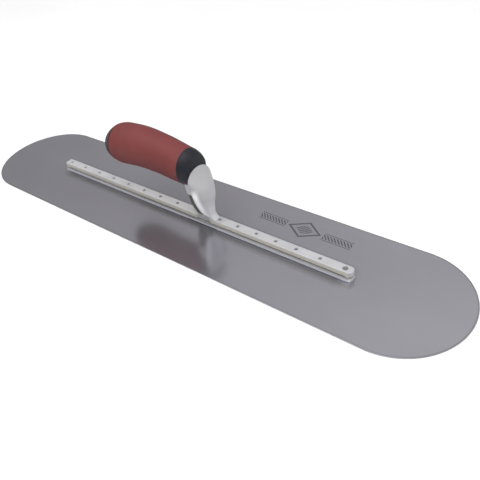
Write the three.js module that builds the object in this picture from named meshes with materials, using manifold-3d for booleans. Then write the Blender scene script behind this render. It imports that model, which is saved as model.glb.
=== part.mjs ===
// A steel finishing trowel with a fully rounded blade.
//
// The spring-steel blade carries a row of steel studs. They stand up through the aluminium
// mounting, a long ribbed bar whose middle rises into a gooseneck shank, and are peened flush
// with its top. A moulded handle is drawn against the head of the shank by a tie rod, and its
// nut is hidden under the end cap.
//
// Millimetres. +X runs along the blade from the heel to the toe, +Z is up, and the origin is
// the centre of the blade's working face.

import * as THREE from "three";
import { mergeVertices } from "three/addons/utils/BufferGeometryUtils.js";
import Module from "manifold-3d";

const wasm = await Module();
wasm.setup();

// ---------------------------------------------------------------------------------------------
// Driving dimensions
// ---------------------------------------------------------------------------------------------

// Blade: a flat strip whose ends are half circles.
const bladeLength = 609.6;
const bladeWidth = 127;
const bladeThickness = 0.8;

// Mounting bar: a base flange on the blade, a groove along each side, and a strip on top.
const barLength = 398.6;
const flangeWidth = 12;
const flangeHeight = 3.7;
const grooveHeight = 1.1;
const barWebWidth = 6.8;
const stripWidth = 9.6;
const stripHeight = 5.1;
const barEdgeRound = 0.8;
const heelCornerRadius = 1.6;
const toeCornerRadius = 4.2;
const grooveEndWall = 6;

// Studs: one row behind the shank and one in front of it.
const studDiameter = 2.8;
const studHeadDiameter = 3.2;
const studHeadHeight = 1.2;
const toeStudHeadDiameter = 5;
const heelStudCount = 8;
const toeStudCount = 7;
const studEndInset = 8;
const heelRowToShank = 22.4;
const shankToToeRow = 2.4;
const wideGapCount = 2;
const wideGapRatio = 1.12;

// Shank: a bulging plate rises from the bar, with a thin web and a saddle behind it. The
// plate's back is its datum along X, and its heights are taken from the handle's axis.
const plateBackX = 28.7;
const plateBulge = 14.1;
const plateFootReach = 16.3;
const plateRiseOverAxis = 1.9;
const plateDome = 11.9;
const plateHalfWidth = 15.7;
const plateEdgeRound = 0.9;
const webWidth = 6.8;
const webFootDepth = 9.3;
const webNeckDepth = 18.1;
const saddleWidth = 17.2;
const saddleDrop = 13.5;

// Handle: its outside is a row of oval sections across the X axis.
const axisHeight = 66.5;
const bolsterLength = 9.85;
const gripLength = 94.7;
const capLength = 21;
const capEndRadius = 5.5;
const capJointRadius = 20.5;
const swellBeforeJoint = 9;
const swellRadius = 21.9;
const archBeforeJoint = 38;
const archRise = 6;
const waistBehindFront = 33.7;
const waistRadius = 20.2;
const gripFrontRadius = 18.6;
const handleFrontRadius = 15;
const ovalRatio = 0.96;
const sleeveThickness = 3.2;
const spigotLength = 8;
const socketWall = 6.5;

// Tie rod, its washer and its nut.
const rodDiameter = 6.35;
const rodFrontDrop = 10.5;
const rodRearRise = 1.9;
const rodThreadDepth = 3.2;
const washerDiameter = 15;
const washerThickness = 1.6;
const nutAcrossFlats = 11.1;
const nutThickness = 5.6;
const nutRecessMargin = 1;
const nutRecessDepth = 14;
const rodPastNut = 3;

// Clearances between pieces that touch.
const seatGap = 0.05;
const plateGap = 0.15;
const fitGap = 0.3;
const partingGap = 0.3;

// ---------------------------------------------------------------------------------------------
// Derived places
// ---------------------------------------------------------------------------------------------

const barBottomZ = bladeThickness + seatGap;
const grooveZ = barBottomZ + flangeHeight;
const stripZ = grooveZ + grooveHeight;
const barTopZ = stripZ + stripHeight;

const plateTopZ = axisHeight + plateRiseOverAxis;
const plateShoulderZ = plateTopZ - plateDome;
const plateFootX = plateBackX + plateFootReach;
const webFootX = plateBackX - webFootDepth;
const webNeckX = plateBackX - webNeckDepth;

const handleFrontX = plateBackX - plateGap;
const gripFrontX = handleFrontX - bolsterLength;
const capJointX = gripFrontX - gripLength;
const capEndX = capJointX - capLength;
const swellX = capJointX + swellBeforeJoint;
const archX = capJointX + archBeforeJoint;
const waistX = gripFrontX - waistBehindFront;
const spigotDiameter = 2 * (capJointRadius - socketWall);

const rodFrontZ = axisHeight - rodFrontDrop;
const rodRearZ = axisHeight + rodRearRise;
const rodFrontX = plateBackX + rodThreadDepth;
const rodTilt = Math.atan2(rodRearZ - rodFrontZ, rodFrontX - capJointX);
const coreRearX = capJointX - spigotLength;
const recessFloorX = coreRearX + nutRecessDepth;
const washerRearX = recessFloorX - seatGap - washerThickness;
const nutRearX = washerRearX - seatGap - nutThickness;
const rodRearX = nutRearX - rodPastNut;
const nutRecessDiameter = Math.max(washerDiameter, nutAcrossFlats) + 2 * nutRecessMargin;

// ---------------------------------------------------------------------------------------------
// Geometry helpers
// ---------------------------------------------------------------------------------------------

// A smooth curve through [x, value] pairs: a cubic Hermite with slopes that never overshoot.
function curveThrough(points) {
  const secant = points.slice(1).map(([x, y], i) => (y - points[i][1]) / (x - points[i][0]));
  const slope = points.map((_, i) => {
    const before = secant[Math.max(i - 1, 0)];
    const after = secant[Math.min(i, secant.length - 1)];
    return before * after <= 0 ? 0 : (2 * before * after) / (before + after);
  });
  return (x) => {
    let i = 0;
    while (i < points.length - 2 && x > points[i + 1][0]) i++;
    const [x0, y0] = points[i];
    const [x1, y1] = points[i + 1];
    const w = x1 - x0;
    const t = Math.min(Math.max((x - x0) / w, 0), 1);
    const a = (1 + 2 * t) * (1 - t) ** 2;
    const b = t * (1 - t) ** 2;
    const c = t * t * (3 - 2 * t);
    const d = t * t * (t - 1);
    return a * y0 + b * w * slope[i] + c * y1 + d * w * slope[i + 1];
  };
}

// A closed skin over rings of points, with a fan over each end.
function loft(rings) {
  const count = rings[0].length;
  const vertices = rings.flat();
  const faces = [];
  for (let i = 0; i < rings.length - 1; i++) {
    for (let j = 0; j < count; j++) {
      const k = (j + 1) % count;
      const a = i * count;
      const b = a + count;
      faces.push(a + j, a + k, b + k, a + j, b + k, b + j);
    }
  }
  const centre = (ring) => ring.reduce((s, p) => s.map((v, i) => v + p[i] / count), [0, 0, 0]);
  const first = vertices.push(centre(rings[0])) - 1;
  const last = vertices.push(centre(rings.at(-1))) - 1;
  const tail = (rings.length - 1) * count;
  for (let j = 0; j < count; j++) {
    const k = (j + 1) % count;
    faces.push(first, k, j, last, tail + j, tail + k);
  }
  return new THREE.BufferGeometry()
    .setAttribute("position", new THREE.Float32BufferAttribute(vertices.flat(), 3))
    .setIndex(faces);
}

// A three.js geometry as a manifold-3d solid, for cutting and joining.
function solid(geometry) {
  const bare = new THREE.BufferGeometry().setAttribute("position", geometry.attributes.position);
  if (geometry.index) bare.setIndex(geometry.index);
  const merged = mergeVertices(bare, 1e-4);
  const made = new wasm.Manifold(
    new wasm.Mesh({
      numProp: 3,
      vertProperties: new Float32Array(merged.attributes.position.array),
      triVerts: new Uint32Array(merged.index.array),
    }),
  );
  if (made.volume() > 0) return made;
  const turned = merged.index.array.slice().reverse();
  return solid(merged.clone().setIndex([...turned]));
}

function geometryOf(made) {
  const { numProp, vertProperties, triVerts } = made.getMesh();
  const position = [];
  for (let i = 0; i < vertProperties.length; i += numProp) {
    position.push(...vertProperties.slice(i, i + 3));
  }
  const geometry = new THREE.BufferGeometry()
    .setAttribute("position", new THREE.Float32BufferAttribute(position, 3))
    .setIndex([...triVerts]);
  geometry.computeVertexNormals();
  return geometry;
}

// A shape in the XY plane, raised from z0 to z1, its edges eased by an optional bevel.
function raised(shape, z0, z1, bevel = 0) {
  return new THREE.ExtrudeGeometry(shape, {
    depth: z1 - z0 - 2 * bevel,
    bevelEnabled: bevel > 0,
    bevelThickness: bevel,
    bevelSize: bevel,
    bevelOffset: -bevel,
    bevelSegments: 3,
    curveSegments: 8,
  }).translate(0, 0, z0 + bevel);
}

// A round bar along X between two places, centred at the given height.
function barAlongX(x0, x1, z, diameter, sides = 28) {
  return new THREE.CylinderGeometry(diameter / 2, diameter / 2, x1 - x0, sides)
    .rotateZ(-Math.PI / 2)
    .translate((x0 + x1) / 2, 0, z);
}

// Tilts a piece that was made level along X into the slope of the tie rod.
function alongRod(geometry) {
  return geometry.translate(-rodFrontX, 0, 0).rotateY(rodTilt).translate(rodFrontX, 0, rodFrontZ);
}

function box(x0, x1, y0, y1, z0, z1) {
  return new THREE.BoxGeometry(x1 - x0, y1 - y0, z1 - z0).translate(
    (x0 + x1) / 2,
    (y0 + y1) / 2,
    (z0 + z1) / 2,
  );
}

// ---------------------------------------------------------------------------------------------
// Materials
// ---------------------------------------------------------------------------------------------

const material = (color, roughness, metalness) =>
  new THREE.MeshStandardMaterial({ color, roughness, metalness });

const bladeSteel = material(0x8b8a90, 0.38, 1);
const castAluminium = material(0xc9c9cd, 0.35, 1);
const studSteel = material(0x77777b, 0.45, 1);
const redRubber = material(0x8e4744, 0.8, 0);
const blackPlastic = material(0x24262b, 0.6, 0);
const zincSteel = material(0xa3a39c, 0.4, 1);

const trowel = new THREE.Group();

function add(name, geometry, finish) {
  const mesh = new THREE.Mesh(geometry, finish);
  mesh.name = name;
  trowel.add(mesh);
}

// ---------------------------------------------------------------------------------------------
// Blade
// ---------------------------------------------------------------------------------------------

function bladeShape() {
  const radius = bladeWidth / 2;
  const straight = bladeLength / 2 - radius;
  const outline = new THREE.Shape();
  outline.absarc(straight, 0, radius, -Math.PI / 2, Math.PI / 2, false);
  outline.absarc(-straight, 0, radius, Math.PI / 2, (3 * Math.PI) / 2, false);
  outline.closePath();
  return outline;
}

add(
  "blade",
  new THREE.ExtrudeGeometry(bladeShape(), {
    depth: bladeThickness,
    bevelEnabled: false,
    curveSegments: 48,
  }),
  bladeSteel,
);

// ---------------------------------------------------------------------------------------------
// Studs
// ---------------------------------------------------------------------------------------------

// Stud places along the bar: an even heel row, then a toe row whose last gaps are wider.
function studRow() {
  const heelStart = -barLength / 2 + studEndInset;
  const heelEnd = webNeckX - heelRowToShank;
  const heelPitch = (heelEnd - heelStart) / (heelStudCount - 1);
  const row = [];
  for (let i = 0; i < heelStudCount; i++) {
    row.push({ x: heelStart + i * heelPitch, head: studHeadDiameter });
  }
  const toeStart = plateFootX + shankToToeRow;
  const toeEnd = barLength / 2 - studEndInset;
  const toeGaps = toeStudCount - 1 + wideGapCount * (wideGapRatio - 1);
  const toePitch = (toeEnd - toeStart) / toeGaps;
  let x = toeStart;
  for (let i = 0; i < toeStudCount; i++) {
    const last = i === toeStudCount - 1;
    row.push({ x, head: last ? toeStudHeadDiameter : studHeadDiameter });
    x += i < toeStudCount - 1 - wideGapCount ? toePitch : toePitch * wideGapRatio;
  }
  return row;
}

// A stud, or its hole when grown by a clearance: a shank and a peened head, flush with the bar.
function studGeometry({ x, head }, grow) {
  const shank = studDiameter / 2 + grow;
  const rim = head / 2 + grow;
  const base = barBottomZ - grow;
  const top = barTopZ + (grow ? 1 : 0);
  const shoulder = barTopZ - studHeadHeight;
  const profile = [
    new THREE.Vector2(0, base),
    new THREE.Vector2(shank, base),
    new THREE.Vector2(shank, shoulder - (rim - shank)),
    new THREE.Vector2(rim, shoulder),
    new THREE.Vector2(rim, top),
    new THREE.Vector2(0, top),
  ];
  return new THREE.LatheGeometry(profile, 16).rotateX(Math.PI / 2).translate(x, 0, 0);
}

const studs = studRow();
studs.forEach((stud, i) => {
  add(`stud_${String(i + 1).padStart(2, "0")}`, studGeometry(stud, 0), studSteel);
});

// ---------------------------------------------------------------------------------------------
// Handle outside, shared by the sleeve, the core and the cap
// ---------------------------------------------------------------------------------------------

const handleRadius = curveThrough([
  [capEndX, capEndRadius],
  [capEndX + 4, capEndRadius + 5.2],
  [capEndX + 10, capEndRadius + 9.8],
  [capJointX - 4, capJointRadius - 1.4],
  [capJointX, capJointRadius],
  [swellX, swellRadius],
  [waistX, waistRadius],
  [gripFrontX, gripFrontRadius],
  [handleFrontX - 4.5, gripFrontRadius - 1.2],
  [handleFrontX - 2, handleFrontRadius + 1.2],
  [handleFrontX, handleFrontRadius],
]);

const handleCentre = curveThrough([
  [capEndX, axisHeight - 0.5],
  [capEndX + 12, axisHeight + 1.5],
  [capJointX, axisHeight + 3.1],
  [swellX, axisHeight + 3.8],
  [archX, axisHeight + archRise],
  [waistX, axisHeight + 4.6],
  [gripFrontX, axisHeight - 0.2],
  [handleFrontX, axisHeight - 0.8],
]);

// Where the handle's sections stand, closer together toward both of its ends.
const handleStations = [];
for (let x = capEndX; x < handleFrontX; ) {
  handleStations.push(x);
  x += x < capJointX ? 1.5 : x < gripFrontX + 2 ? 3 : 1;
}

function handleRing(x, inset) {
  const sides = 44;
  const radius = handleRadius(x) - inset;
  const ring = [];
  for (let i = 0; i < sides; i++) {
    const turn = (2 * Math.PI * i) / sides;
    const y = radius * ovalRatio * Math.cos(turn);
    ring.push([x, y, handleCentre(x) + radius * Math.sin(turn)]);
  }
  return ring;
}

// The handle's outside between two places along X, sunk by an inset.
function handleSolid(x0, x1, inset = 0) {
  const between = handleStations.filter((x) => x > x0 + 0.1 && x < x1 - 0.1);
  return solid(loft([x0, ...between, x1].map((x) => handleRing(x, inset))));
}

// ---------------------------------------------------------------------------------------------
// Mounting: bar and shank in one casting
// ---------------------------------------------------------------------------------------------

// The bar's plan: square-ish at the heel and well rounded at the toe.
function barShape(width, endInset) {
  const x0 = -barLength / 2 + endInset;
  const x1 = barLength / 2 - endInset;
  const y = width / 2;
  const heel = heelCornerRadius;
  const toe = Math.min(toeCornerRadius, y - 0.2);
  const outline = new THREE.Shape();
  outline.absarc(x1 - toe, -y + toe, toe, -Math.PI / 2, 0, false);
  outline.absarc(x1 - toe, y - toe, toe, 0, Math.PI / 2, false);
  outline.absarc(x0 + heel, y - heel, heel, Math.PI / 2, Math.PI, false);
  outline.absarc(x0 + heel, -y + heel, heel, Math.PI, (3 * Math.PI) / 2, false);
  outline.closePath();
  return outline;
}

function barSolid() {
  const flange = solid(raised(barShape(flangeWidth, 0), barBottomZ, stripZ, barEdgeRound));
  const strip = solid(raised(barShape(stripWidth, 0.6), grooveZ, barTopZ, barEdgeRound));
  let bar = flange.add(strip);
  const x0 = -barLength / 2 + grooveEndWall;
  const x1 = barLength / 2 - grooveEndWall;
  const notchFrontX = plateBackX + 9;
  for (const side of [-1, 1]) {
    const inner = (side * barWebWidth) / 2;
    const outer = side * flangeWidth;
    const y0 = Math.min(inner, outer);
    const y1 = Math.max(inner, outer);
    bar = bar.subtract(solid(box(x0, x1, y0, y1, grooveZ, stripZ)));
    bar = bar.subtract(solid(box(webFootX, notchFrontX, y0, y1, grooveZ, barTopZ + 1)));
  }
  return bar;
}

// A height on the shank, as a share of its rise from the bar's top to the plate's top.
const shankZ = (share) => barTopZ + share * (plateTopZ - barTopZ);

// A place on the plate's front, as a share of its bulge.
const bulgeX = (share) => plateBackX + share * plateBulge;

// The plate as level slices: how far its front stands, where its side edges run, how wide it is.
const plateFront = curveThrough([
  [stripZ, plateFootX + 3],
  [barTopZ, plateFootX],
  [barTopZ + 1.5, plateFootX - 2],
  [barTopZ + 5, plateFootX - 3.8],
  [shankZ(0.212), bulgeX(0.88)],
  [shankZ(0.455), bulgeX(1)],
  [shankZ(0.63), bulgeX(0.87)],
  [shankZ(0.768), bulgeX(0.57)],
  [shankZ(0.872), bulgeX(0.29)],
  [shankZ(0.941), bulgeX(0.15)],
  [shankZ(0.983), bulgeX(0.1)],
  [plateTopZ, bulgeX(0.083)],
]);
const plateEdge = curveThrough([
  [stripZ, plateBackX + 10.8],
  [barTopZ, plateBackX + 8],
  [barTopZ + 2.5, plateBackX + 4.3],
  [shankZ(0.143), plateBackX + 1],
  [shankZ(0.334), plateBackX],
  [shankZ(0.542), plateBackX + plateEdgeRound],
  [plateTopZ, plateBackX + plateEdgeRound],
]);

// A half width of the plate, as a share of its spread from the strip's to its widest.
const flankY = (share) => stripWidth / 2 + share * (plateHalfWidth - stripWidth / 2);

const plateFlank = curveThrough([
  [stripZ, flankY(0)],
  [barTopZ + 1, flankY(0)],
  [shankZ(0.1), flankY(0.16)],
  [shankZ(0.3), flankY(0.5)],
  [shankZ(0.55), flankY(0.83)],
  [plateShoulderZ, flankY(1)],
]);

function plateHalf(z) {
  if (z < plateShoulderZ) return plateFlank(z);
  const rise = (z - plateShoulderZ) / (plateTopZ - plateShoulderZ);
  return plateHalfWidth * Math.sqrt(Math.max(1 - rise ** 2, 0.0004));
}

// One slice of the plate: a blunt half oval in front, rounded side edges and a flat back.
function plateRing(z) {
  const edge = plateEdge(z);
  const half = plateHalf(z);
  const depth = plateFront(z) - edge;
  const square = 2.25 + 3 * Math.max(0, 1 - (z - stripZ) / 11);
  const ring = [];
  const steps = 26;
  for (let i = 0; i <= steps; i++) {
    const turn = -Math.PI / 2 + (Math.PI * i) / steps;
    const c = Math.abs(Math.cos(turn)) ** (2 / square);
    const s = Math.abs(Math.sin(turn)) ** (2 / square);
    ring.push([edge + depth * c, Math.sign(turn) * half * s, z]);
  }
  const inner = Math.max(half - plateEdgeRound, half * 0.5);
  ring.push([edge - plateEdgeRound * 0.7, inner + (half - inner) * 0.7, z]);
  ring.push([edge - plateEdgeRound, inner, z]);
  ring.push([edge - plateEdgeRound, -inner, z]);
  ring.push([edge - plateEdgeRound * 0.7, -inner - (half - inner) * 0.7, z]);
  return ring;
}

// The web behind the plate, widening into the saddle under the front of the handle.
const webBack = curveThrough([
  [grooveZ, webFootX + 2],
  [barTopZ, webFootX],
  [barTopZ + 2.25, webFootX - 2.2],
  [shankZ(0.143), webNeckX + 2.4],
  [shankZ(0.369), webNeckX],
  [plateTopZ, webNeckX],
]);
const saddleTopZ = handleCentre(gripFrontX) - handleRadius(gripFrontX);
const webHalf = curveThrough([
  [grooveZ, webWidth / 2],
  [saddleTopZ - saddleDrop - 1.5, webWidth / 2],
  [saddleTopZ - saddleDrop, saddleWidth / 2 - 2.6],
  [saddleTopZ - saddleDrop / 2, saddleWidth / 2 - 0.8],
  [saddleTopZ + 1, saddleWidth / 2],
  [plateTopZ, saddleWidth / 2],
]);

function webRing(z) {
  const back = webBack(z);
  const half = webHalf(z);
  const front = plateEdge(z) + 2;
  const ring = [[front, -half, z], [front, half, z]];
  const steps = 10;
  for (let i = 0; i <= steps; i++) {
    const turn = (Math.PI * i) / steps;
    ring.push([back + half * (1 - Math.sin(turn)), half * Math.cos(turn), z]);
  }
  return ring;
}

// Heights of the slices between two levels, crowding toward the upper one when domed.
function levels(z0, z1, count, domed) {
  const out = [];
  for (let i = 0; i <= count; i++) {
    const t = i / count;
    out.push(z0 + (z1 - z0) * (domed ? Math.sin((Math.PI / 2) * t) : t));
  }
  return out;
}

function shankSolid() {
  const domeZ = shankZ(0.681);
  const lower = levels(stripZ, domeZ, 24);
  const upper = levels(domeZ, plateTopZ, 14, true);
  const plateLevels = [...lower, ...upper.slice(1)];
  const plate = solid(loft(plateLevels.map(plateRing)));
  const web = solid(loft(levels(grooveZ, saddleTopZ + 8, 20).map(webRing)));
  const handle = handleSolid(waistX, handleFrontX + 4, -partingGap);
  return plate.add(web.subtract(handle));
}

function mountingSolid() {
  let body = barSolid().add(shankSolid());
  for (const stud of studs) {
    body = body.subtract(solid(studGeometry(stud, fitGap)));
  }
  const tapped = barAlongX(gripFrontX, rodFrontX + fitGap, 0, rodDiameter + 2 * fitGap);
  return body.subtract(solid(alongRod(tapped)));
}

add("mounting", geometryOf(mountingSolid()), castAluminium);

// ---------------------------------------------------------------------------------------------
// Handle
// ---------------------------------------------------------------------------------------------

const capJointZ = handleCentre(capJointX);

// The core: a front bolster at full size, a tube inside the sleeve, and a spigot for the cap.
function coreSolid() {
  const bolster = handleSolid(gripFrontX + partingGap, handleFrontX);
  const tube = handleSolid(capJointX, gripFrontX + 2, sleeveThickness);
  const spigot = solid(barAlongX(coreRearX, capJointX + 1, capJointZ, spigotDiameter, 36));
  const past = spigotLength;
  const bore = barAlongX(coreRearX - past, handleFrontX + past, 0, rodDiameter + 2 * fitGap);
  const recess = barAlongX(coreRearX - past, recessFloorX, 0, nutRecessDiameter, 36);
  const whole = bolster.add(tube).add(spigot);
  return whole.subtract(solid(alongRod(bore))).subtract(solid(alongRod(recess)));
}

function sleeveSolid() {
  const inside = handleSolid(capJointX - 1, gripFrontX + 1, sleeveThickness - fitGap);
  return handleSolid(capJointX + partingGap, gripFrontX).subtract(inside);
}

function capSolid() {
  const socketDiameter = spigotDiameter + 2 * fitGap;
  const socket = barAlongX(coreRearX - fitGap, capJointX + 1, capJointZ, socketDiameter, 36);
  return handleSolid(capEndX, capJointX - seatGap).subtract(solid(socket));
}

add("handle_core", geometryOf(coreSolid()), blackPlastic);
add("grip_sleeve", geometryOf(sleeveSolid()), redRubber);
add("end_cap", geometryOf(capSolid()), blackPlastic);

// ---------------------------------------------------------------------------------------------
// Tie rod, washer and nut
// ---------------------------------------------------------------------------------------------

// A flat ring or a hexagon around the rod, standing across the X axis.
function around(outline, x0, thickness) {
  const hole = new THREE.Path();
  hole.absarc(0, 0, rodDiameter / 2 + fitGap, 0, 2 * Math.PI, true);
  outline.holes.push(hole);
  return new THREE.ExtrudeGeometry(outline, {
    depth: thickness,
    bevelEnabled: false,
    curveSegments: 24,
  })
    .rotateY(Math.PI / 2)
    .translate(x0, 0, 0);
}

function hexagon(acrossFlats) {
  const outline = new THREE.Shape();
  const radius = acrossFlats / Math.sqrt(3);
  for (let i = 0; i < 6; i++) {
    const turn = (Math.PI * i) / 3;
    const x = radius * Math.cos(turn);
    const y = radius * Math.sin(turn);
    if (i === 0) outline.moveTo(x, y);
    else outline.lineTo(x, y);
  }
  outline.closePath();
  return outline;
}

const washerOutline = new THREE.Shape();
washerOutline.absarc(0, 0, washerDiameter / 2, 0, 2 * Math.PI, false);

const rod = barAlongX(rodRearX, rodFrontX, 0, rodDiameter);

add("tie_rod", alongRod(rod), zincSteel);
add("rod_washer", alongRod(around(washerOutline, washerRearX, washerThickness)), zincSteel);
add("rod_nut", alongRod(around(hexagon(nutAcrossFlats), nutRearX, nutThickness)), zincSteel);

export default trowel;
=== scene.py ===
import math

import bmesh
import bpy
from mathutils import Matrix, Vector


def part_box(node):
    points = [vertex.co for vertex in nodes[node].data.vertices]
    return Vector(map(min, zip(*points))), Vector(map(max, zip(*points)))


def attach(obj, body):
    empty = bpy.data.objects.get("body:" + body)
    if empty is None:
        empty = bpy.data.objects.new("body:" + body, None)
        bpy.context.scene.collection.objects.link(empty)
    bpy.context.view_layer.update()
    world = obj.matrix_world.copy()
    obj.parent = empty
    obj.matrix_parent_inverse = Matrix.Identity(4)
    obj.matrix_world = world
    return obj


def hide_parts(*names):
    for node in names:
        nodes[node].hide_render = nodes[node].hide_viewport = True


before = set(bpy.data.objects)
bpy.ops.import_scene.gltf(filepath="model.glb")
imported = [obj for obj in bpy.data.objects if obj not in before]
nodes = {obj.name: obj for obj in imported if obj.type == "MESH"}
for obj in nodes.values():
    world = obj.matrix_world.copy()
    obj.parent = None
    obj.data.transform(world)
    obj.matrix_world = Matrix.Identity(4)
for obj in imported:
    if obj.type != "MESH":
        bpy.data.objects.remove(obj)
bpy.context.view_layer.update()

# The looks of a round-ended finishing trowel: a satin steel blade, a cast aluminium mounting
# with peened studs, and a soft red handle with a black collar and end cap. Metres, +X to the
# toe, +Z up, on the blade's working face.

# ---------------------------------------------------------------------------------------------
# Driving values
# ---------------------------------------------------------------------------------------------

MM = 0.001

# The camera looks down at a point on the blade, turned a little about its own axis.
CAMERA_AZIMUTH = math.radians(44.33)
CAMERA_ELEVATION = math.radians(39.53)
CAMERA_ROLL = math.radians(-9.87)
CAMERA_DISTANCE = 0.5646
CAMERA_TARGET = Vector((0.0763, -0.0061, 0.0))
CAMERA_LENS = 42.86

# Blade: how finely its round ends are divided and how far its edges are eased.
END_SEGMENTS = 120
EDGE_EASE = 0.16 * MM

# Handle: points round each section, the fewest that make a section in the CAD, spacing of the
# sections, and the ease at each parting line.
ROUND_POINTS = 128
CAD_POINTS_MIN = 20
SECTION_STEP = 0.9 * MM
PARTING_EASE = 0.35 * MM
COLLAR_EASE = 0.4 * MM
EASE_STEPS = 5
PARTING_GAP = 0.3 * MM

# Inside the handle: the sleeve's wall, the tube under it, the cap's spigot and its socket.
SLEEVE_WALL = 2.9 * MM
TUBE_DEPTH = 3.3 * MM
TUBE_STEPS = 30
SPIGOT_RADIUS = 14 * MM
SPIGOT_CHAMFER = 0.5 * MM
SOCKET_RADIUS = 14.3 * MM
RECESS_MARGIN = 1 * MM
WASHER_GAP = 0.1 * MM

# End cap: how far its nose is rebuilt, and how far its tip stands past the CAD cap's.
NOSE_LENGTH = 3.5 * MM
NOSE_TANGENT = 1.5 * MM
NOSE_STEPS = 14
TIP_REACH = 0.3 * MM
SLOPE_STEP = 1 * MM

# Mounting bar: its section's sizes and edge radii, and the reach of the shapes that cut it.
FLANGE_HEIGHT = 3.7 * MM
GROOVE_HEIGHT = 1.1 * MM
GROOVE_FLOOR = 3.4 * MM
GROOVE_END_WALL = 6 * MM
STRIP_HALF_WIDTH = 4.8 * MM
STRIP_END_INSET = 0.15 * MM
HEEL_CORNER = 1.6 * MM
TOE_CORNER = 4.2 * MM
BAR_EDGE = 0.55 * MM
EDGE_STEPS = 4
CORNER_STEPS = 8
GROOVE_LIP = 0.2 * MM
WALL_STEP = 0.01 * MM
STUD_HOLE_GAP = 0.1 * MM
STUD_HOLE_CUT = 5 * MM
BLOCK_REACH = 100 * MM

# Shank: the stretch of the casting around it that is remeshed, its cell size, its softening and
# the share of its faces that is kept.
SHANK_START = 7 * MM
SHANK_END = 45.3 * MM
SHANK_OVERLAP = 1.5 * MM
CASTING_CELL = 0.3 * MM
CASTING_SMOOTH = 4
CASTING_SMOOTH_FACTOR = 0.5
CASTING_KEEP = 0.7

# Studs: shank and head, the peened head's shallow dish and the ease at its rim.
STUD_SHANK_RADIUS = 1.4 * MM
HEAD_HEIGHT = 1.2 * MM
HEAD_DISH = 0.25 * MM
HEAD_EASE = 0.2 * MM
STUD_POINTS = 40
RIM_STEPS = 4
DISH_STEPS = 7

# Etched ornament on the blade: its middle, the lozenge's half sizes, the bands and the hatch.
ORNAMENT = Vector((124 * MM, 37 * MM))
LOZENGE = Vector((19 * MM, 12.5 * MM))
LOZENGE_RIM = (0.82, 1.0)
LOZENGE_CORE = 0.55
BAND_HALF_WIDTH = 3.2 * MM
BAND_RULES = (4.3 * MM, 5.1 * MM)
BAND_START = LOZENGE.x + 2 * MM
BAND_END = 53 * MM
HATCH_PITCH = 3.6 * MM
HATCH_SLOPE = 0.9

# Blade tone: a level between its two faces, and where the painted shadow along the bar's foot and the
# painted shade in a strip round the outline fade.
FACE_SPLIT = 0.5 * MM
BAR_SHADOW_Y = (6 * MM, 17 * MM)
BAR_SHADOW_X = (186 * MM, 200 * MM)
RIM_SHADE_STRIP = (1.7 * MM, 0.7 * MM)

# Casting tone: the back of the shank's plate, how far its side edge stands in front of that at
# its foot and head, and ranges of height over the working face.
PLATE_BACK = 28.7 * MM
PLATE_TOE_OUT = (8 * MM, 1 * MM)
FLANGE_SIDE_Z = (0, 3.9 * MM)
FLANGE_LIP_Z = (3.9 * MM, 4.8 * MM)
GROOVE_Z = (4.4 * MM, 5.8 * MM)
STRIP_SIDE_Z = (5.5 * MM, 10.2 * MM)
STRIP_TOP_Z = (10.5 * MM, 12 * MM)
PLATE_FOOT_Z = (11 * MM, 16 * MM)
PLATE_EDGE_Z = (11 * MM, 19 * MM)
WEB_Z = (11.5 * MM, 34.5 * MM)
FLANK_Z = (15 * MM, 47 * MM)
PLATE_SHADE_Z = (24 * MM, 44 * MM)
SADDLE_Z = (36 * MM, 60 * MM)

# The same, across the bar and along it.
WEB_HALF_WIDTH = 5.2 * MM
GROOVE_HALF_WIDTH = 4.2 * MM
BAR_SIDE_Y = (4.3 * MM, 4.7 * MM)
FLANK_Y = (4 * MM, 6 * MM)
FLANK_DEPTH = (-0.5 * MM, 5.8 * MM)
PLATE_BACK_X = (PLATE_BACK - 1.2 * MM, PLATE_BACK)
UNDER_HANDLE_LIGHT_X = (-70 * MM, 24 * MM)

# Shading: the angles past which an edge stays sharp.
SKIN_SHARP = math.radians(32)
CASTING_SHARP = math.radians(40)

FLOOR_HALF = 9.0
FLOOR_DROP = 0.1 * MM

# Light: the sky's radiance at the horizon and overhead, how it leans, its glow round an aim near
# the zenith, and the power of two soft lights that metal doesn't mirror.
SKY_HORIZON = 0.3
SKY_TOP = 1.0
SKY_LEAN = Vector((0.45, 0.05))
SKY_GLOW = 3.0
SKY_GLOW_AIM = Vector((-0.3, -0.2, 0.93))
SKY_GLOW_START = 0.82  # cosine of the glow's half angle
TOE_LIGHT = 14
OVERHEAD_LIGHT = 13
LIGHT_AIM = Vector((0, 0, 30 * MM))

stud_names = sorted(name for name in nodes if name.startswith("stud_"))

# ---------------------------------------------------------------------------------------------
# Shader helpers
# ---------------------------------------------------------------------------------------------


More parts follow.
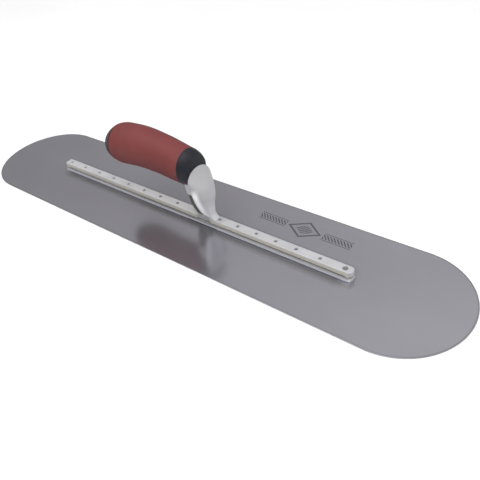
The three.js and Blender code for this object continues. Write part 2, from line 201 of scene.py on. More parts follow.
class Shader:
    """A material's node graph, with short calls for the nodes that the looks below use."""

    def __init__(self, name, **settings):
        self.material = bpy.data.materials.new(name)
        self.material.use_nodes = True
        self.tree = self.material.node_tree
        self.surface = self.tree.nodes["Principled BSDF"]
        for socket, value in settings.items():
            self.surface.inputs[socket.replace("_", " ")].default_value = value
        self.place = self.tree.nodes.new("ShaderNodeTexCoord").outputs["Object"]

    def put(self, value, socket):
        """Links an output to a socket, or sets the socket to a plain value."""
        if isinstance(value, bpy.types.NodeSocket):
            self.tree.links.new(value, socket)
        else:
            socket.default_value = value

    def math(self, operation, a, b=0.0, clamp=False):
        node = self.tree.nodes.new("ShaderNodeMath")
        node.operation = operation
        node.use_clamp = clamp
        self.put(a, node.inputs[0])
        self.put(b, node.inputs[1])
        return node.outputs[0]

    def stretched(self, scale):
        """Object coordinates multiplied per axis, to draw a pattern out along one of them."""
        node = self.tree.nodes.new("ShaderNodeMapping")
        self.put(self.place, node.inputs["Vector"])
        node.inputs["Scale"].default_value = scale
        return node.outputs["Vector"]

    def noise(self, scale, detail=3.0, stretch=(1, 1, 1), roughness=0.5):
        node = self.tree.nodes.new("ShaderNodeTexNoise")
        self.put(self.stretched(stretch), node.inputs["Vector"])
        node.inputs["Scale"].default_value = scale
        node.inputs["Detail"].default_value = detail
        node.inputs["Roughness"].default_value = roughness
        return node.outputs["Fac"]

    def spread(self, value, low, high, start=0.3, end=0.7):
        """A value between start and end mapped to low and high."""
        node = self.tree.nodes.new("ShaderNodeMapRange")
        self.put(value, node.inputs["Value"])
        for socket, number in zip(("From Min", "From Max", "To Min", "To Max"), (start, end, low, high)):
            node.inputs[socket].default_value = number
        return node.outputs["Result"]

    def mix(self, share, a, b):
        node = self.tree.nodes.new("ShaderNodeMix")
        node.data_type = "RGBA"
        self.put(share, node.inputs["Factor"])
        self.put(a, node.inputs["A"])
        self.put(b, node.inputs["B"])
        return node.outputs["Result"]

    def axes(self):
        node = self.tree.nodes.new("ShaderNodeSeparateXYZ")
        self.put(self.place, node.inputs[0])
        return node.outputs

    def bump(self, height, distance, strength=1.0, under=None):
        node = self.tree.nodes.new("ShaderNodeBump")
        node.inputs["Distance"].default_value = distance
        node.inputs["Strength"].default_value = strength
        self.put(height, node.inputs["Height"])
        if under is not None:
            self.put(under, node.inputs["Normal"])
        return node.outputs["Normal"]

    def finish(self, **sockets):
        for socket, value in sockets.items():
            self.put(value, self.surface.inputs[socket.replace("_", " ")])
        return self.material


# ---------------------------------------------------------------------------------------------
# Materials
# ---------------------------------------------------------------------------------------------


def within(look, value, span, blend):
    """A mask that is one inside a span and fades over a short blend at both ends."""
    low, high = span
    above = look.spread(value, 0.0, 1.0, low - blend, low + blend)
    return look.math("MULTIPLY", above, look.spread(value, 1.0, 0.0, high - blend, high + blend))


def between(look, value, span):
    """A mask with hard ends: one inside a span."""
    above = look.math("GREATER_THAN", value, span[0])
    return look.math("MULTIPLY", above, look.math("LESS_THAN", value, span[1]))


def hatch(look, x, y, slope):
    """A mask of slanting stripes."""
    slant = look.math("ADD", x, look.math("MULTIPLY", y, slope))
    wave = look.math("SINE", look.math("MULTIPLY", slant, 2 * math.pi / HATCH_PITCH))
    return look.math("GREATER_THAN", wave, 0.0)


def etched_ornament(look):
    """A mask for a plain etched ornament: a hatched lozenge between two hatched bands."""
    x, y, z = look.axes()
    along = look.math("ABSOLUTE", look.math("SUBTRACT", x, ORNAMENT.x))
    across = look.math("ABSOLUTE", look.math("SUBTRACT", y, ORNAMENT.y))
    reach = look.math("DIVIDE", along, LOZENGE.x)
    reach = look.math("ADD", reach, look.math("DIVIDE", across, LOZENGE.y))
    core = look.math("LESS_THAN", reach, LOZENGE_CORE)
    core = look.math("MULTIPLY", core, hatch(look, x, y, -HATCH_SLOPE))
    lozenge = look.math("ADD", between(look, reach, LOZENGE_RIM), core)
    bands = look.math("LESS_THAN", across, BAND_HALF_WIDTH)
    bands = look.math("MULTIPLY", hatch(look, x, y, HATCH_SLOPE), bands)
    rows = look.math("ADD", bands, between(look, across, BAND_RULES))
    rows = look.math("MULTIPLY", rows, between(look, along, (BAND_START, BAND_END)))
    upper_face = look.math("GREATER_THAN", z, FACE_SPLIT)
    return look.math("MULTIPLY", look.math("ADD", lozenge, rows, clamp=True), upper_face)


def painted_bar_shadow(look):
    """A mask for the painted shadow on the blade along the bar's foot, where the bar shades the blade
    and darkens its reflection.
    """
    x, y, z = look.axes()
    bar_shadow = look.spread(look.math("ABSOLUTE", y), 1.0, 0.0, *BAR_SHADOW_Y)
    bar_shadow = look.math("MULTIPLY", bar_shadow, look.spread(look.math("ABSOLUTE", x), 1.0, 0.0, *BAR_SHADOW_X))
    return look.math("MULTIPLY", bar_shadow, look.math("GREATER_THAN", z, FACE_SPLIT))


def painted_rim_shade(look):
    """A mask for the painted shade in a strip that runs round the blade's outline."""
    low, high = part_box("blade")
    radius = (high.y - low.y) / 2
    x, y, _ = look.axes()
    past = look.math("SUBTRACT", look.math("ABSOLUTE", x), high.x - radius)
    past = look.math("MAXIMUM", past, 0.0)
    reach = look.math("ADD", look.math("MULTIPLY", past, past), look.math("MULTIPLY", y, y))
    inner, outer = RIM_SHADE_STRIP
    return look.spread(look.math("SQRT", reach), 0.0, 1.0, radius - inner, radius - outer)


def blade_steel():
    """Cold-rolled spring steel, polished along its length, with cloudy roll marks."""
    look = Shader("blade_steel", Metallic=0.86, IOR=1.5)
    grain = look.noise(60, 4, stretch=(0.5, 40, 1), roughness=0.6)
    fine = look.noise(420, 3, stretch=(0.12, 8, 1))
    cloud = look.noise(9, 4, stretch=(0.6, 1.4, 1))
    specks = look.noise(2600, 1)
    etched = etched_ornament(look)
    tone = look.mix(look.spread(cloud, 0.0, 1.0), (0.325, 0.318, 0.354, 1), (0.357, 0.349, 0.386, 1))
    tone = look.mix(look.spread(fine, 0.0, 0.16, 0.45, 0.75), tone, (0.44, 0.44, 0.45, 1))
    tone = look.mix(look.math("MULTIPLY", etched, 0.9), tone, (0.095, 0.093, 0.10, 1))
    # Painted shade: a darker strip round the blade's outline.
    tone = look.mix(look.math("MULTIPLY", painted_rim_shade(look), 0.45), tone, (0.13, 0.13, 0.14, 1))
    # Painted shadow: the blade is darkened along the bar's foot, and made a little rougher there.
    bar_shadow = painted_bar_shadow(look)
    tone = look.mix(look.math("MULTIPLY", bar_shadow, 0.75), tone, (0.06, 0.062, 0.06, 1))
    rough = look.math("ADD", look.spread(grain, 0.155, 0.195), look.spread(cloud, -0.02, 0.025))
    rough = look.math("ADD", rough, look.math("MULTIPLY", bar_shadow, 0.1))
    rough = look.math("ADD", rough, look.math("MULTIPLY", etched, 0.22), clamp=True)
    normal = look.bump(grain, 0.012 * MM, 0.5)
    normal = look.bump(fine, 0.006 * MM, 0.5, normal)
    normal = look.bump(specks, 0.004 * MM, 0.4, normal)
    return look.finish(Base_Color=tone, Roughness=rough, Normal=normal)


def painted_recess_shade(look):
    """A mask for painted shade in the recesses: the web behind the shank's plate and, more faintly, the
    bar's groove.
    """
    x, y, z = look.axes()
    across = look.math("ABSOLUTE", y)
    web = look.math("LESS_THAN", across, WEB_HALF_WIDTH)
    web = look.math("MULTIPLY", web, look.math("LESS_THAN", x, PLATE_BACK - 0.4 * MM))
    web = look.math("MULTIPLY", web, within(look, z, WEB_Z, 0.8 * MM))
    groove = look.math("MULTIPLY", look.math("LESS_THAN", across, GROOVE_HALF_WIDTH), 0.75)
    groove = look.math("MULTIPLY", groove, within(look, z, GROOVE_Z, 0.1 * MM))
    return look.math("MAXIMUM", web, groove)


def plate_depth(look, x, z):
    """How far a point on the shank's plate stands in front of the plate's side edges."""
    foot, head = PLATE_TOE_OUT
    edge = look.spread(z, PLATE_BACK + foot, PLATE_BACK + head, *PLATE_EDGE_Z)
    return look.math("SUBTRACT", x, edge)


def painted_flank_highlight(look):
    """A mask for the painted highlight down the lower sides of the shank's plate."""
    x, y, z = look.axes()
    flank = within(look, plate_depth(look, x, z), FLANK_DEPTH, 1.8 * MM)
    flank = look.math("MULTIPLY", flank, within(look, z, FLANK_Z, 4 * MM))
    across = look.spread(look.math("ABSOLUTE", y), 0.0, 1.0, *FLANK_Y)
    return look.math("MULTIPLY", flank, across)


def plate_painted_light(look, tone, flanks):
    """Painted light on the plate: lighter at its foot and darker toward its head, with a painted
    highlight down its sides and painted light on the saddle behind it.
    """
    x, _, z = look.axes()
    plate = look.spread(x, 0, 1, *PLATE_BACK_X)
    plate = look.math("MULTIPLY", plate, look.spread(z, 0, 1, *PLATE_FOOT_Z))
    # Painted shading: the plate is lighter at its foot and darker toward its head.
    rise = look.spread(z, 0.0, 1.0, *PLATE_SHADE_Z)
    height_tone = look.mix(rise, (0.49, 0.49, 0.505, 1), (0.335, 0.335, 0.348, 1))
    tone = look.mix(look.math("MULTIPLY", plate, 0.9), tone, height_tone)
    # Painted light: the saddle behind the plate is made lighter.
    saddle = look.spread(x, 1, 0, *PLATE_BACK_X)
    saddle = look.math("MULTIPLY", saddle, within(look, z, SADDLE_Z, 0.3 * MM))
    tone = look.mix(look.math("MULTIPLY", saddle, 0.6), tone, (0.70, 0.70, 0.72, 1))
    return look.mix(flanks, tone, (0.92, 0.92, 0.93, 1))


def bar_painted_light(look, tone):
    """Painted light on the bar: its sides are lighter than its top, with a painted dark line along the
    flange's lip, and its top is painted lighter under the handle, where the handle shades it.
    """
    x, y, z = look.axes()
    beside = look.spread(look.math("ABSOLUTE", y), 0.0, 1.0, *BAR_SIDE_Y)
    low_side = look.math("MULTIPLY", beside, within(look, z, FLANGE_SIDE_Z, 0.2 * MM))
    lip = look.math("MULTIPLY", beside, within(look, z, FLANGE_LIP_Z, 0.1 * MM))
    high_side = look.math("MULTIPLY", beside, within(look, z, STRIP_SIDE_Z, 0.2 * MM))
    under_handle_light = within(look, z, STRIP_TOP_Z, 0.1 * MM)
    under_handle_light = look.math("MULTIPLY", within(look, x, UNDER_HANDLE_LIGHT_X, 22 * MM), under_handle_light)
    # Painted light: the flange's side is made a lighter lilac grey.
    tone = look.mix(low_side, tone, (0.60, 0.60, 0.66, 1))
    # Painted shade: a dark line along the flange's lip.
    tone = look.mix(look.math("MULTIPLY", lip, 0.6), tone, (0.12, 0.12, 0.12, 1))
    # Painted light: the strip's side is made a lighter, warmer grey.
    tone = look.mix(high_side, tone, (0.53, 0.51, 0.45, 1))
    # Painted light: the strip's top is lightened under the handle, where the handle shades it.
    return look.mix(under_handle_light, tone, (0.66, 0.66, 0.67, 1))


def cast_aluminium():
    """An aluminium casting, tumbled to a soft satin, with painted shade in its hollows and painted light
    on its plate and bar.
    """
    look = Shader("cast_aluminium", IOR=1.5)
    cloud = look.noise(55, 5)
    tumbled = look.noise(850, 4, roughness=0.62)
    drawn = look.noise(300, 3, stretch=(0.12, 3, 3))
    recess_shade = painted_recess_shade(look)
    tone = look.mix(look.spread(cloud, 0.0, 1.0), (0.370, 0.370, 0.385, 1), (0.415, 0.415, 0.428, 1))
    tone = look.mix(look.spread(tumbled, 0.22, 0.0, 0.32, 0.52), tone, (0.25, 0.25, 0.26, 1))
    # Painted highlight: the plate's lower sides are made near white, and less metallic.
    flanks = look.math("MULTIPLY", painted_flank_highlight(look), 0.85)
    tone = bar_painted_light(look, plate_painted_light(look, tone, flanks))
    # Painted shade: the web and the groove are darkened to a dark olive.
    tone = look.mix(look.math("MULTIPLY", recess_shade, 0.9), tone, (0.075, 0.073, 0.055, 1))
    rough = look.math("ADD", look.spread(tumbled, 0.42, 0.54), look.spread(cloud, -0.03, 0.04))
    normal = look.bump(cloud, 0.25 * MM, 0.25)
    normal = look.bump(tumbled, 0.035 * MM, 0.45, normal)
    normal = look.bump(drawn, 0.01 * MM, 0.5, normal)
    metal = look.spread(flanks, 0.35, 0.12, 0.0, 1.0)
    return look.finish(Base_Color=tone, Roughness=rough, Metallic=metal, Normal=normal)


def stud_steel():
    """Peened steel: dark, dimpled and a little polished on the high spots."""
    look = Shader("stud_steel", Metallic=0.9)
    dimples = look.noise(1500, 2)
    tone = look.mix(look.spread(dimples, 0.0, 1.0), (0.13, 0.13, 0.14, 1), (0.34, 0.34, 0.35, 1))
    rough = look.spread(dimples, 0.5, 0.34)
    return look.finish(Base_Color=tone, Roughness=rough, Normal=look.bump(dimples, 0.08 * MM, 0.6))


def soft_grip():
    """Moulded soft rubber: dry, dusty and finely grained."""
    look = Shader("soft_grip", Metallic=0.0, IOR=1.45, Specular_IOR_Level=0.32)
    cloud = look.noise(38, 4)
    grain = look.noise(1500, 3, roughness=0.6)
    pores = look.noise(4200, 1)
    tone = look.mix(look.spread(cloud, 0.0, 1.0), (0.112, 0.0245, 0.0245, 1), (0.134, 0.0305, 0.0295, 1))
    tone = look.mix(look.spread(grain, 0.22, 0.0, 0.3, 0.55), tone, (0.082, 0.021, 0.022, 1))
    rough = look.spread(grain, 0.62, 0.74)
    normal = look.bump(grain, 0.07 * MM, 0.5)
    normal = look.bump(pores, 0.03 * MM, 0.35, normal)
    return look.finish(Base_Color=tone, Roughness=rough, Normal=normal)


def hard_plastic():
    """Near-black moulded plastic with a soft gloss."""
    look = Shader("hard_plastic", Metallic=0.0, IOR=1.4, Specular_IOR_Level=0.3)
    cloud = look.noise(70, 3)
    grain = look.noise(1900, 2)
    tone = look.mix(look.spread(cloud, 0.0, 1.0), (0.008, 0.0085, 0.012, 1), (0.012, 0.0125, 0.017, 1))
    rough = look.math("ADD", look.spread(grain, 0.42, 0.50), look.spread(cloud, -0.03, 0.03))
    return look.finish(Base_Color=tone, Roughness=rough, Normal=look.bump(grain, 0.03 * MM, 0.35))


def zinc_steel():
    """Zinc plate with its faint spangle."""
    look = Shader("zinc_steel", Metallic=1.0)
    spangle = look.noise(500, 2)
    tone = look.mix(look.spread(spangle, 0.0, 1.0), (0.46, 0.46, 0.42, 1), (0.6, 0.6, 0.57, 1))
    return look.finish(Base_Color=tone, Roughness=look.spread(spangle, 0.3, 0.45))


def floor_paint():
    """Pale matt studio floor."""
    look = Shader("studio_floor", Metallic=0.0, Roughness=0.9)
    speckle = look.noise(3, 2)
    tone = look.mix(look.spread(speckle, 0.0, 1.0), (0.6, 0.6, 0.6, 1), (0.62, 0.62, 0.62, 1))
    return look.finish(Base_Color=tone)


# ---------------------------------------------------------------------------------------------
# Mesh helpers
# ---------------------------------------------------------------------------------------------


def piece_from(name, mesh, material, replaced):
    """Puts a finished mesh in the scene as the piece that stands for one CAD node."""
    mesh.materials.clear()
    mesh.materials.append(material)
    piece = bpy.data.objects.new(name, mesh)
    bpy.context.scene.collection.objects.link(piece)
    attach(piece, "root")
    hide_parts(replaced)
    return piece


def skin(name, rings, closed_loop=False):
    """A mesh over rings of points. Its ends are closed by fans, or joined to each other."""
    shape = bmesh.new()
    rows = [[shape.verts.new(point) for point in ring] for ring in rings]
    pairs = list(zip(rows, rows[1:]))
    if closed_loop:
        pairs.append((rows[-1], rows[0]))
    for near, far in pairs:
        for i in range(len(near)):
            k = (i + 1) % len(near)
            shape.faces.new((near[i], near[k], far[k], far[i]))
    if not closed_loop:
        for row in (rows[0], rows[-1]):
            middle = sum((v.co for v in row), Vector()) / len(row)
            centre = shape.verts.new(middle)
            for i in range(len(row)):
                shape.faces.new((row[i], row[(i + 1) % len(row)], centre))
    bmesh.ops.recalc_face_normals(shape, faces=shape.faces)
    mesh = bpy.data.meshes.new(name)
    shape.to_mesh(mesh)
    shape.free()
    for face in mesh.polygons:
        face.use_smooth = True
    mesh.set_sharp_from_angle(angle=SKIN_SHARP)
    return mesh


# ---------------------------------------------------------------------------------------------
# Blade
# ---------------------------------------------------------------------------------------------


def stadium(length, width, inset, height):
    """The blade's outline: two straight sides and two half-circle ends."""
    radius = width / 2
    straight = length / 2 - radius
    ring = []
    for end, turn in ((straight, -math.pi / 2), (-straight, math.pi / 2)):
        for i in range(END_SEGMENTS + 1):
            angle = turn + math.pi * i / END_SEGMENTS
            reach = radius - inset
            ring.append((end + reach * math.cos(angle), reach * math.sin(angle), height))
    return ring


def build_blade():
    low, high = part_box("blade")
    length, width = high.x - low.x, high.y - low.y
    rings = []
    for inset, height in (
        (3 * EDGE_EASE, low.z),
        (EDGE_EASE, low.z),
        (0.3 * EDGE_EASE, low.z + 0.3 * EDGE_EASE),
        (0, low.z + EDGE_EASE),
        (0, high.z - EDGE_EASE),
        (0.3 * EDGE_EASE, high.z - 0.3 * EDGE_EASE),
        (EDGE_EASE, high.z),
        (3 * EDGE_EASE, high.z),
    ):
        rings.append(stadium(length, width, inset, height))
    mesh = skin("blade_plate", rings)
    piece_from("blade_plate", mesh, blade_steel(), "blade")


# ---------------------------------------------------------------------------------------------
# Mounting and studs
# ---------------------------------------------------------------------------------------------


def bar_outline(inset, height, floor=None, strip=False):
    """The bar's plan at one height, from the toe round to the heel. A floor narrows its sides."""
    low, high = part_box("mounting")
    end = STRIP_END_INSET if strip else 0
    half = STRIP_HALF_WIDTH if strip else flange_half_width()
    ring = []
    for side, turn in ((1, 0), (-1, 1)):
        x_end = (high.x if side > 0 else low.x) - side * end
        corner = min(TOE_CORNER if side > 0 else HEEL_CORNER, half)
        for k in (0, 1):
            y_side = -side if k == 0 else side
            for i in range(CORNER_STEPS + 1):
                angle = math.pi * (turn - 0.5 + k / 2 + i / 2 / CORNER_STEPS)
                reach = corner - inset
                x = x_end - side * corner + reach * math.cos(angle)
                y = y_side * (half - corner) + reach * math.sin(angle)
                ring.append((x, y, height))
        wall = x_end - side * (GROOVE_END_WALL - end)
        y = side * (half - inset)
        ring.append((wall, y, height))
        floor_y = y if floor is None else side * floor
        ring.append((wall - side * WALL_STEP, floor_y, height))
        other = (low.x if side > 0 else high.x) + side * GROOVE_END_WALL
        ring.append((other + side * WALL_STEP, floor_y, height))
        ring.append((other, y, height))
    return ring


def flange_half_width():
    """Half the flange's width, read from the CAD casting below its grooves."""
    reach = [v.co.y for v in nodes["mounting"].data.vertices if v.co.z < FLANGE_HEIGHT - BAR_EDGE]
    return max(reach)


def bar_rings():
    """Level outlines of the bar: flange, groove and strip, with their edges rounded."""
    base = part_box("mounting")[0].z
    groove = base + FLANGE_HEIGHT
    strip = groove + GROOVE_HEIGHT
    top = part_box(stud_names[0])[1].z
    rings = [bar_outline(2 * BAR_EDGE, base), bar_outline(BAR_EDGE / 2, base)]
    rings.append(bar_outline(0, base + BAR_EDGE / 2))
    rings += rounded_edge(groove, BAR_EDGE, False)
    rings.append(bar_outline(2 * WALL_STEP, groove, GROOVE_FLOOR + GROOVE_LIP, True))
    rings.append(bar_outline(0, groove + GROOVE_LIP, GROOVE_FLOOR, True))
    rings.append(bar_outline(0, strip, GROOVE_FLOOR, True))
    rings.append(bar_outline(0, strip, STRIP_HALF_WIDTH - BAR_EDGE / 2, True))
    rings.append(bar_outline(0, strip + BAR_EDGE / 2, None, True))
    rings += rounded_edge(top, BAR_EDGE, True)
    rings.append(bar_outline(2 * BAR_EDGE, top, None, True))
    return rings


def rounded_edge(top, radius, strip):
    """Outlines that round over an upper edge of the bar."""
    rings = []
    for i in range(EDGE_STEPS + 1):
        turn = math.pi / 2 * i / EDGE_STEPS
        drop = radius * (1 - math.sin(turn))
        rings.append(bar_outline(radius * (1 - math.cos(turn)), top - drop, None, strip))
    return rings


def block(x0, x1):
    """A box that spans the whole mounting between two places along X."""
    shape = bmesh.new()
    bmesh.ops.create_cube(shape, size=1)
    for vertex in shape.verts:
        vertex.co.x = x0 if vertex.co.x < 0 else x1
        vertex.co.y *= 2 * BLOCK_REACH
        vertex.co.z *= 2 * BLOCK_REACH
    return shape


def cut(name, mesh, cutter_shape, operation):
    """The mesh joined with a cutting shape by one boolean operation."""
    cutter_mesh = bpy.data.meshes.new("cutter")
    cutter_shape.to_mesh(cutter_mesh)
    cutter_shape.free()
    cutter = bpy.data.objects.new("cutter", cutter_mesh)
    body = bpy.data.objects.new(name, mesh)
    for item in (cutter, body):
        bpy.context.scene.collection.objects.link(item)
    modifier = body.modifiers.new("cut", "BOOLEAN")
    modifier.operation = operation
    modifier.solver = "EXACT"
    modifier.object = cutter
    made = evaluated(body)
    for item in (cutter, body):
        bpy.data.objects.remove(item)
    return made


def evaluated(piece):
    """A piece's mesh with its modifiers applied."""
    graph = bpy.context.evaluated_depsgraph_get()
    return bpy.data.meshes.new_from_object(piece.evaluated_get(graph))


def bar_mesh():
    """The bar on both sides of the shank, with a round hole for each stud."""
    shape = block(SHANK_START, SHANK_END)
    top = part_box(stud_names[0])[1].z
    for name in stud_names:
        low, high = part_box(name)
        place = Matrix.Translation(((low.x + high.x) / 2, 0, top))
        radius = (high.x - low.x) / 2 + STUD_HOLE_GAP
        bmesh.ops.create_cone(
            shape,
            cap_ends=True,
            segments=STUD_POINTS,
            radius1=radius,
            radius2=radius,
            depth=STUD_HOLE_CUT,
            matrix=place,
        )
    return cut("bar", skin("bar", bar_rings()), shape, "DIFFERENCE")


def shank_mesh():
    """The CAD casting around the shank, remeshed finely, its edges and junctions tumbled soft."""
    around = block(SHANK_START - SHANK_OVERLAP, SHANK_END + SHANK_OVERLAP)
    mesh = cut("shank", nodes["mounting"].data.copy(), around, "INTERSECT")
    piece = bpy.data.objects.new("shank", mesh)
    bpy.context.scene.collection.objects.link(piece)
    remesh = piece.modifiers.new("cells", "REMESH")
    remesh.mode = "VOXEL"
    remesh.voxel_size = CASTING_CELL
    remesh.use_smooth_shade = True
    soften = piece.modifiers.new("soften", "SMOOTH")
    soften.factor = CASTING_SMOOTH_FACTOR
    soften.iterations = CASTING_SMOOTH
    thin = piece.modifiers.new("thin", "DECIMATE")
    thin.ratio = CASTING_KEEP
    made = evaluated(piece)
    bpy.data.objects.remove(piece)
    return made


def build_mounting():
    shape = bmesh.new()
    shape.from_mesh(bar_mesh())
    shape.from_mesh(shank_mesh())
    mesh = bpy.data.meshes.new("mounting_casting")
    shape.to_mesh(mesh)
    shape.free()
    for face in mesh.polygons:
        face.use_smooth = True
    mesh.set_sharp_from_angle(angle=CASTING_SHARP)
    piece_from("mounting_casting", mesh, cast_aluminium(), "mounting")


def build_studs():
    """Each stud is a shank with a peened head: a shallow dish inside an eased rim."""
    material = stud_steel()
    for name in stud_names:
        low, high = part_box(name)
        radius = (high.x - low.x) / 2
        shank = min(radius, STUD_SHANK_RADIUS)
        neck = high.z - HEAD_HEIGHT
        profile = [(shank, low.z), (shank, neck - (radius - shank))]
        profile += [(radius, neck), (radius, high.z - HEAD_EASE)]
        for i in range(1, RIM_STEPS + 1):
            turn = math.pi / 2 * i / RIM_STEPS
            rim = radius - HEAD_EASE * (1 - math.cos(turn))
            profile.append((rim, high.z - HEAD_EASE * (1 - math.sin(turn))))
        for i in range(1, DISH_STEPS):
            inward = 1 - i / DISH_STEPS
            dish = HEAD_DISH * (1 - inward**2)
            profile.append(((radius - HEAD_EASE) * inward, high.z - dish))
        centre = Vector(((low.x + high.x) / 2, (low.y + high.y) / 2, 0))
        rings = []
        for reach, height in profile:
            ring = []
            for i in range(STUD_POINTS):
                turn = 2 * math.pi * i / STUD_POINTS
                ring.append(centre + Vector((reach * math.cos(turn), reach * math.sin(turn), height)))
            rings.append(ring)
        piece_from("peened_" + name, skin("peened_" + name, rings), material, name)


# ---------------------------------------------------------------------------------------------
# Handle
# ---------------------------------------------------------------------------------------------


class Sections:
    """The outside of a handle piece, read from its CAD node and smoothed along X."""

    def __init__(self, node):
        rings = {}
        for vertex in nodes[node].data.vertices:
            rings.setdefault(round(vertex.co.x, 5), []).append(vertex.co)
        rows = []
        for x, points in sorted(rings.items()):
            top = max(p.z for p in points)
            bottom = min(p.z for p in points)
            wide = max(p.y for p in points)
            rows.append((x, (top + bottom) / 2, (top - bottom) / 2, wide))
        self.rows = [row for row in rows if len(rings[row[0]]) >= CAD_POINTS_MIN]
        self.x0, self.x1 = self.rows[0][0], self.rows[-1][0]

    def at(self, x):
        """Centre height, half height and half width at x, on a smooth curve through the rows."""
        rows = self.rows
        x = min(max(x, self.x0), self.x1)
        i = 0
        while i < len(rows) - 2 and x > rows[i + 1][0]:
            i += 1
        near, far = rows[i], rows[i + 1]
        before, after = rows[max(i - 1, 0)], rows[min(i + 2, len(rows) - 1)]
        span = far[0] - near[0]
        t = (x - near[0]) / span
        out = []
        for k in (1, 2, 3):
            rise0 = (far[k] - before[k]) / (far[0] - before[0]) * span
            rise1 = (after[k] - near[k]) / (after[0] - near[0]) * span
            a, b = near[k], far[k]
            out.append(
                (2 * t**3 - 3 * t**2 + 1) * a
                + (t**3 - 2 * t**2 + t) * rise0
                + (3 * t**2 - 2 * t**3) * b
                + (t**3 - t**2) * rise1
            )
        return out

    def ring(self, x, inset=0.0):
        centre, tall, wide = self.at(x)
        return oval(x, centre, tall - inset, wide - inset)


def oval(x, centre, tall, wide):
    ring = []
    for i in range(ROUND_POINTS):
        turn = 2 * math.pi * i / ROUND_POINTS
        ring.append((x, wide * math.cos(turn), centre + tall * math.sin(turn)))
    return ring


def eased(sections, x0, x1, ease0, ease1):
    """Rings from x0 to x1 whose end edges are rounded over by the given eases."""
    rings = []
    for i in range(EASE_STEPS):
        turn = math.pi / 2 * i / EASE_STEPS
        rings.append(sections.ring(x0 + ease0 * (1 - math.cos(turn)), ease0 * (1 - math.sin(turn))))
    count = max(2, round((x1 - x0 - ease0 - ease1) / SECTION_STEP))
    for i in range(count + 1):
        rings.append(sections.ring(x0 + ease0 + (x1 - x0 - ease0 - ease1) * i / count))
    for i in range(1, EASE_STEPS + 1):
        turn = math.pi / 2 * i / EASE_STEPS
        rings.append(sections.ring(x1 - ease1 * (1 - math.sin(turn)), ease1 * (1 - math.cos(turn))))
    return rings


def rod_height(x):
    """Height of the sloping tie rod's centre line at x."""
    low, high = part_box("tie_rod")
    radius = (high.y - low.y) / 2
    share = (x - low.x) / (high.x - low.x)
    return high.z - radius + (low.z - high.z + 2 * radius) * share


def build_grip():
    sections = Sections("grip_sleeve")
    x0, x1 = sections.x0, sections.x1
    outside = eased(sections, x0, x1, PARTING_EASE, PARTING_EASE)
    inside = []
    for i in range(TUBE_STEPS + 1):
        inside.append(sections.ring(x1 - (x1 - x0) * i / TUBE_STEPS, SLEEVE_WALL))
    mesh = skin("soft_grip_sleeve", outside + inside, closed_loop=True)
    piece_from("soft_grip_sleeve", mesh, soft_grip(), "grip_sleeve")


def build_core(plastic):
    """The collar in front, the tube under the grip, the rear spigot, and the bore for the rod."""
    sections = Sections("handle_core")
    sleeve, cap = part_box("grip_sleeve"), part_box("end_cap")
    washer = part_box("rod_washer")
    collar_x = sleeve[1].x + PARTING_GAP
    joint_x = cap[1].x
    low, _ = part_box("handle_core")
    bore = (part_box("tie_rod")[1].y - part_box("tie_rod")[0].y) / 2 + PARTING_GAP
    recess = washer[1].y + RECESS_MARGIN
    floor_x = washer[1].x + WASHER_GAP
    front = eased(sections, collar_x, sections.x1, PARTING_EASE, COLLAR_EASE)[::-1]
    grip = Sections("grip_sleeve")
    tube = []
    for i in range(TUBE_STEPS + 1):
        tube.append(grip.ring(collar_x - (collar_x - joint_x) * i / TUBE_STEPS, TUBE_DEPTH))
    spigot_z = grip.at(joint_x)[0]
    spigot = [oval(joint_x, spigot_z, SPIGOT_RADIUS, SPIGOT_RADIUS)]
    spigot.append(oval(low.x + SPIGOT_CHAMFER, spigot_z, SPIGOT_RADIUS, SPIGOT_RADIUS))
    tip_radius = SPIGOT_RADIUS - SPIGOT_CHAMFER
    spigot.append(oval(low.x, spigot_z, tip_radius, tip_radius))
    hollow = [oval(x, rod_height(x), recess, recess) for x in (low.x, floor_x)]
    hollow += [oval(x, rod_height(x), bore, bore) for x in (floor_x, sections.x1)]
    mesh = skin("handle_core_collar", front + tube + spigot + hollow, closed_loop=True)
    piece_from("handle_core_collar", mesh, plastic, "handle_core")


def build_cap(plastic):
    """The end cap: a rounded nose that runs out to the grip's rear edge, over a socket."""
    sections = Sections("end_cap")
    tip = sections.x0 - TIP_REACH
    start = sections.x0 + NOSE_LENGTH
    centre, tall, wide = sections.at(start)
    inner = sections.at(start + SLOPE_STEP)
    slope = (inner[1] - tall) / SLOPE_STEP
    corners = [
        Vector((start, tall)),
        Vector((start - NOSE_TANGENT, tall - NOSE_TANGENT * slope)),
        Vector((tip, 0.5 * tall)),
        Vector((tip, 0.03 * tall)),
    ]
    nose = []
    for i in range(NOSE_STEPS, 0, -1):
        t = i / NOSE_STEPS
        a, b, c, d = corners
        spot = (1 - t) ** 3 * a + 3 * t * (1 - t) ** 2 * b + 3 * t * t * (1 - t) * c + t**3 * d
        nose.append(oval(spot.x, centre, spot.y, spot.y * wide / tall))
    body = eased(sections, start, sections.x1, 0, PARTING_EASE)[EASE_STEPS:]
    socket_z = sections.at(sections.x1)[0]
    socket_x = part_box("handle_core")[0].x - PARTING_GAP
    socket = [oval(x, socket_z, SOCKET_RADIUS, SOCKET_RADIUS) for x in (sections.x1, socket_x)]
    mesh = skin("handle_end_cap", nose + body + socket)
    piece_from("handle_end_cap", mesh, plastic, "end_cap")


def finish_hardware():
    """The rod, washer and nut keep their CAD shapes and get plated steel."""
    material = zinc_steel()
    for name in ("tie_rod", "rod_washer", "rod_nut"):
        for slot in nodes[name].material_slots:
            slot.material = material


# ---------------------------------------------------------------------------------------------
# Studio
# ---------------------------------------------------------------------------------------------


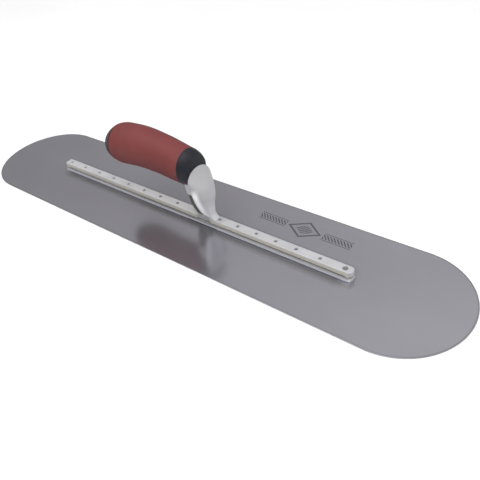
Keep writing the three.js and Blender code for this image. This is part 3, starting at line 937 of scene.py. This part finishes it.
def build_camera():
    away = Vector(
        (
            math.sin(CAMERA_AZIMUTH) * math.cos(CAMERA_ELEVATION),
            -math.cos(CAMERA_AZIMUTH) * math.cos(CAMERA_ELEVATION),
            math.sin(CAMERA_ELEVATION),
        )
    )
    right = Vector((0, 0, 1)).cross(away).normalized()
    up = away.cross(right)
    turn = Matrix.Rotation(CAMERA_ROLL, 3, away)
    axes = Matrix((turn @ right, turn @ up, away)).transposed()
    data = bpy.data.cameras.new("camera")
    data.lens = CAMERA_LENS
    data.sensor_width = 36
    data.clip_start = 0.01
    data.dof.use_dof = False
    camera = bpy.data.objects.new("camera", data)
    camera.matrix_world = Matrix.Translation(CAMERA_TARGET + away * CAMERA_DISTANCE) @ axes.to_4x4()
    bpy.context.scene.collection.objects.link(camera)
    bpy.context.scene.camera = camera


def build_floor():
    shape = bmesh.new()
    bmesh.ops.create_grid(shape, x_segments=8, y_segments=8, size=FLOOR_HALF)
    mesh = bpy.data.meshes.new("floor")
    shape.to_mesh(mesh)
    shape.free()
    mesh.materials.append(floor_paint())
    floor = bpy.data.objects.new("floor", mesh)
    floor.location.z = -FLOOR_DROP
    bpy.context.scene.collection.objects.link(floor)


def area_light(name, place, size, power):
    """A soft light aimed at the middle of the trowel. It lights surfaces but isn't mirrored in them."""
    data = bpy.data.lights.new(name, "AREA")
    data.shape = "RECTANGLE"
    data.size, data.size_y = size
    data.energy = power
    light = bpy.data.objects.new(name, data)
    light.location = place
    aim = LIGHT_AIM - Vector(place)
    light.rotation_euler = aim.to_track_quat("-Z", "Y").to_euler()
    light.visible_glossy = False
    bpy.context.scene.collection.objects.link(light)


def build_sky():
    """A soft sky: it brightens upward and toward the toe, with a broad glow near the zenith."""
    world = bpy.data.worlds.new("studio")
    world.use_nodes = True
    tree = world.node_tree

    def math_node(operation, a, b):
        node = tree.nodes.new("ShaderNodeMath")
        node.operation = operation
        for socket, value in zip(node.inputs, (a, b)):
            if isinstance(value, bpy.types.NodeSocket):
                tree.links.new(value, socket)
            else:
                socket.default_value = value
        return node.outputs[0]

    direction = tree.nodes.new("ShaderNodeTexCoord").outputs["Generated"]
    axes = tree.nodes.new("ShaderNodeSeparateXYZ")
    tree.links.new(direction, axes.inputs[0])
    x, y, z = axes.outputs
    up = math_node("MAXIMUM", z, 0.0)
    rise = math_node("MULTIPLY_ADD", up, SKY_TOP - SKY_HORIZON)
    rise.node.inputs[2].default_value = SKY_HORIZON
    lean = math_node("ADD", math_node("MULTIPLY", x, SKY_LEAN.x), math_node("MULTIPLY", y, SKY_LEAN.y))
    sides = math_node("MULTIPLY", rise, math_node("ADD", lean, 1.0))
    facing = tree.nodes.new("ShaderNodeVectorMath")
    facing.operation = "DOT_PRODUCT"
    tree.links.new(direction, facing.inputs[0])
    facing.inputs[1].default_value = SKY_GLOW_AIM.normalized()
    near = math_node("SUBTRACT", facing.outputs["Value"], SKY_GLOW_START)
    above = math_node("MAXIMUM", near, 0.0)
    glow = math_node("MULTIPLY", above, SKY_GLOW / (1 - SKY_GLOW_START))
    tree.links.new(math_node("ADD", sides, glow), tree.nodes["Background"].inputs["Strength"])
    tree.nodes["Background"].inputs["Color"].default_value = (1, 1, 1, 1)
    bpy.context.scene.world = world


def build_lights():
    build_sky()
    area_light("toe_softbox", (1.25, -0.25, 0.32), (1.4, 0.6), TOE_LIGHT)
    area_light("overhead_softbox", (-0.45, -0.3, 1.4), (1.3, 1.3), OVERHEAD_LIGHT)
    bpy.context.scene.view_settings.view_transform = "Standard"
    bpy.context.scene.view_settings.look = "None"


build_camera()
build_floor()
build_lights()
build_blade()
build_mounting()
build_studs()
build_grip()
moulded = hard_plastic()
build_core(moulded)
build_cap(moulded)
finish_hardware()
